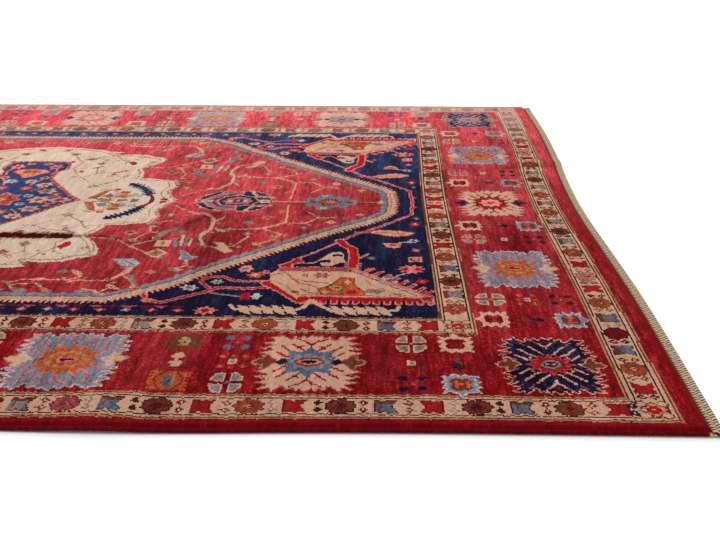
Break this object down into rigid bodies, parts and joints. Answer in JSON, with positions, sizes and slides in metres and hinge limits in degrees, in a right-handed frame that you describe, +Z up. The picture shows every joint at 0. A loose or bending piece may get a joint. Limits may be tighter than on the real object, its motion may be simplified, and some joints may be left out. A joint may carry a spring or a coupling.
{
  "type": "area rug",
  "caption": "Hand-knotted wool area rug with a medallion on a six-sided field, three borders, overcast selvedges and plaited ends, lying flat.",
  "frame": {"origin": "centre of the flat underside, which lies on the floor", "axes": "+X along the rug's length, which is the direction of its warps; +Y across its width; +Z up out of the pile"},
  "size_m": [2.43, 1.688, 0.01],
  "materials": {
    "cotton_web": "undyed cotton warps and wefts in plain weave, matt; knot backs show through on the underside",
    "cotton_warp": "undyed twisted cotton, hidden inside the overcasting",
    "warp_end_yarn": "cream and dark brown plied yarn in a herringbone plait, matt",
    "selvedge_wool": "dark red wool wound closely round the edge warps, matt",
    "pile_red_ground": "shorn hand-spun wool pile, madder red with lighter and darker streaks across, soft sheen",
    "pile_cream_border": "shorn wool pile, cream ground with small brown, red, orange and blue motifs",
    "pile_cream_ground": "shorn wool pile, cream ground with fine vines and blossoms",
    "pile_navy_ground": "shorn wool pile, navy ground with streaks of lighter blue and cream, pink and pale blue flowers"
  },
  "bodies": {
    "root": {"foundation": "cotton_web", "kilim_end_left": "cotton_web", "kilim_end_right": "cotton_web", "pile_field_left": "pile_red_ground", "pile_field_right": "pile_red_ground", "pile_guard_band_far": "pile_red_ground", "pile_guard_band_left": "pile_red_ground", "pile_guard_band_near": "pile_red_ground", "pile_guard_band_right": "pile_red_ground", "pile_inner_border_far": "pile_cream_border", "pile_inner_border_left": "pile_cream_border", "pile_inner_border_near": "pile_cream_border", "pile_inner_border_right": "pile_cream_border", "pile_main_border_far": "pile_red_ground", "pile_main_border_left": "pile_red_ground", "pile_main_border_near": "pile_red_ground", "pile_main_border_right": "pile_red_ground", "pile_medallion": "pile_cream_ground", "pile_medallion_centre": "pile_navy_ground", "pile_outer_border_far": "pile_cream_border", "pile_outer_border_left": "pile_cream_border", "pile_outer_border_near": "pile_cream_border", "pile_outer_border_right": "pile_cream_border", "pile_spandrel_far_left": "pile_navy_ground", "pile_spandrel_far_right": "pile_navy_ground", "pile_spandrel_near_left": "pile_navy_ground", "pile_spandrel_near_right": "pile_navy_ground", "selvedge_overcasting_far": "selvedge_wool", "selvedge_overcasting_near": "selvedge_wool", "selvedge_warp_bundle_far": "cotton_warp", "selvedge_warp_bundle_near": "cotton_warp", "warp_end_plait_left": "warp_end_yarn", "warp_end_plait_right": "warp_end_yarn"}
  },
  "joints": []
}
